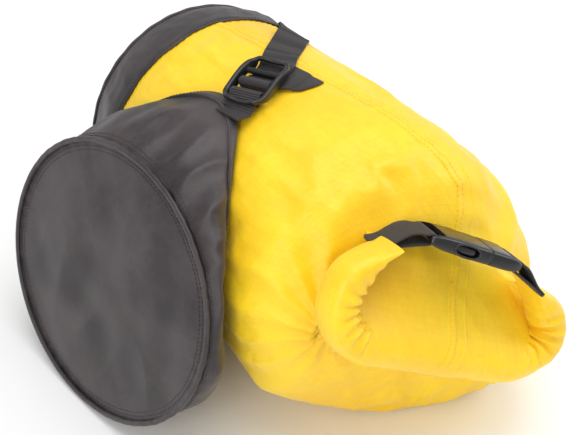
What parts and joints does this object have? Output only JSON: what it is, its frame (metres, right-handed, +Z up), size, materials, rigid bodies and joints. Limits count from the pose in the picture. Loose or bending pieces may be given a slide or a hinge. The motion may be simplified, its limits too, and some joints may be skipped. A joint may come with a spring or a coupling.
{
  "type": "stuff sack",
  "caption": "Roll-top stuff sack lying on its side, mouth rolled and clipped into a ring, with a strapped compression cap leaning on it.",
  "frame": {"origin": "centre of the sack's flat underside, on the floor it lies on", "axes": "+Z up; +Y along the sack towards its sewn base, -Y towards the rolled mouth; the cap leans on the -X side"},
  "size_m": [0.2986, 0.364, 0.2171],
  "materials": {
    "yellow_nylon": "thin coated ripstop nylon, semi-gloss",
    "black_nylon": "coated nylon, satin",
    "cap_nylon": "heavier twill nylon, satin sheen",
    "webbing": "ribbed polypropylene webbing, matt",
    "acetal": "moulded acetal, low gloss",
    "stiffener": "stiff plastic strip"
  },
  "bodies": {
    "sack": {"sack_body": "yellow_nylon", "side_seam": "yellow_nylon", "seam_tape_edge": "yellow_nylon", "base_band": "black_nylon", "base_panel": "black_nylon", "roll_outer_turn": "yellow_nylon", "roll_inner_turns": "yellow_nylon", "roll_stiffener": "stiffener", "mouth_webbing_left": "webbing", "mouth_webbing_right": "webbing", "buckle_socket": "acetal", "strap_top": "webbing", "strap_low": "webbing"},
    "plug": {"buckle_plug": "acetal"},
    "front_prong": {"prong_front": "acetal"},
    "rear_prong": {"prong_rear": "acetal"},
    "cap": {"cap_flat_top": "cap_nylon", "cap_side_wall": "cap_nylon", "cap_mouth_hem": "cap_nylon", "cap_edge_seam": "cap_nylon", "cap_loop_top": "webbing", "cap_loop_low": "webbing"},
    "top_lock": {"ladderlock_top": "acetal"},
    "low_lock": {"ladderlock_low": "acetal"}
  },
  "joints": [
    {"name": "buckle_slide", "type": "slide", "parent": "sack", "child": "plug", "axis": [0.8085, -0.3648, -0.4617], "range_m": [0, 0.028], "deforming": ["mouth_webbing_right", "prong_front", "prong_rear"]},
    {"name": "front_prong_press", "type": "hinge", "parent": "plug", "child": "front_prong", "pos_m": [0.02911, -0.18676, 0.16184], "axis": [-0.5431, -0.1606, -0.8241], "range_deg": [0, 7], "stiffness_Nm_per_rad": 0.15},
    {"name": "rear_prong_press", "type": "hinge", "parent": "plug", "child": "rear_prong", "pos_m": [0.03346, -0.16915, 0.15554], "axis": [0.5431, 0.1606, 0.8241], "range_deg": [0, 7], "stiffness_Nm_per_rad": 0.15},
    {"name": "cap_swing", "type": "hinge", "parent": "sack", "child": "cap", "pos_m": [-0.03478, -0.00775, 0.20423], "axis": [-0.389, 0.9102, -0.1424], "range_deg": [0, 12], "deforming": ["strap_low", "cap_loop_top"]},
    {"name": "top_lock_tilt", "type": "hinge", "parent": "sack", "child": "top_lock", "pos_m": [-0.03478, -0.00775, 0.20423], "axis": [0.389, -0.9102, 0.1424], "range_deg": [0, 6], "deforming": ["strap_top"]},
    {"name": "low_lock_tilt", "type": "hinge", "parent": "cap", "child": "low_lock", "pos_m": [-0.088, -0.03107, 0.03404], "axis": [-0.5715, 0.4238, 0.7027], "range_deg": [0, 5]}
  ]
}
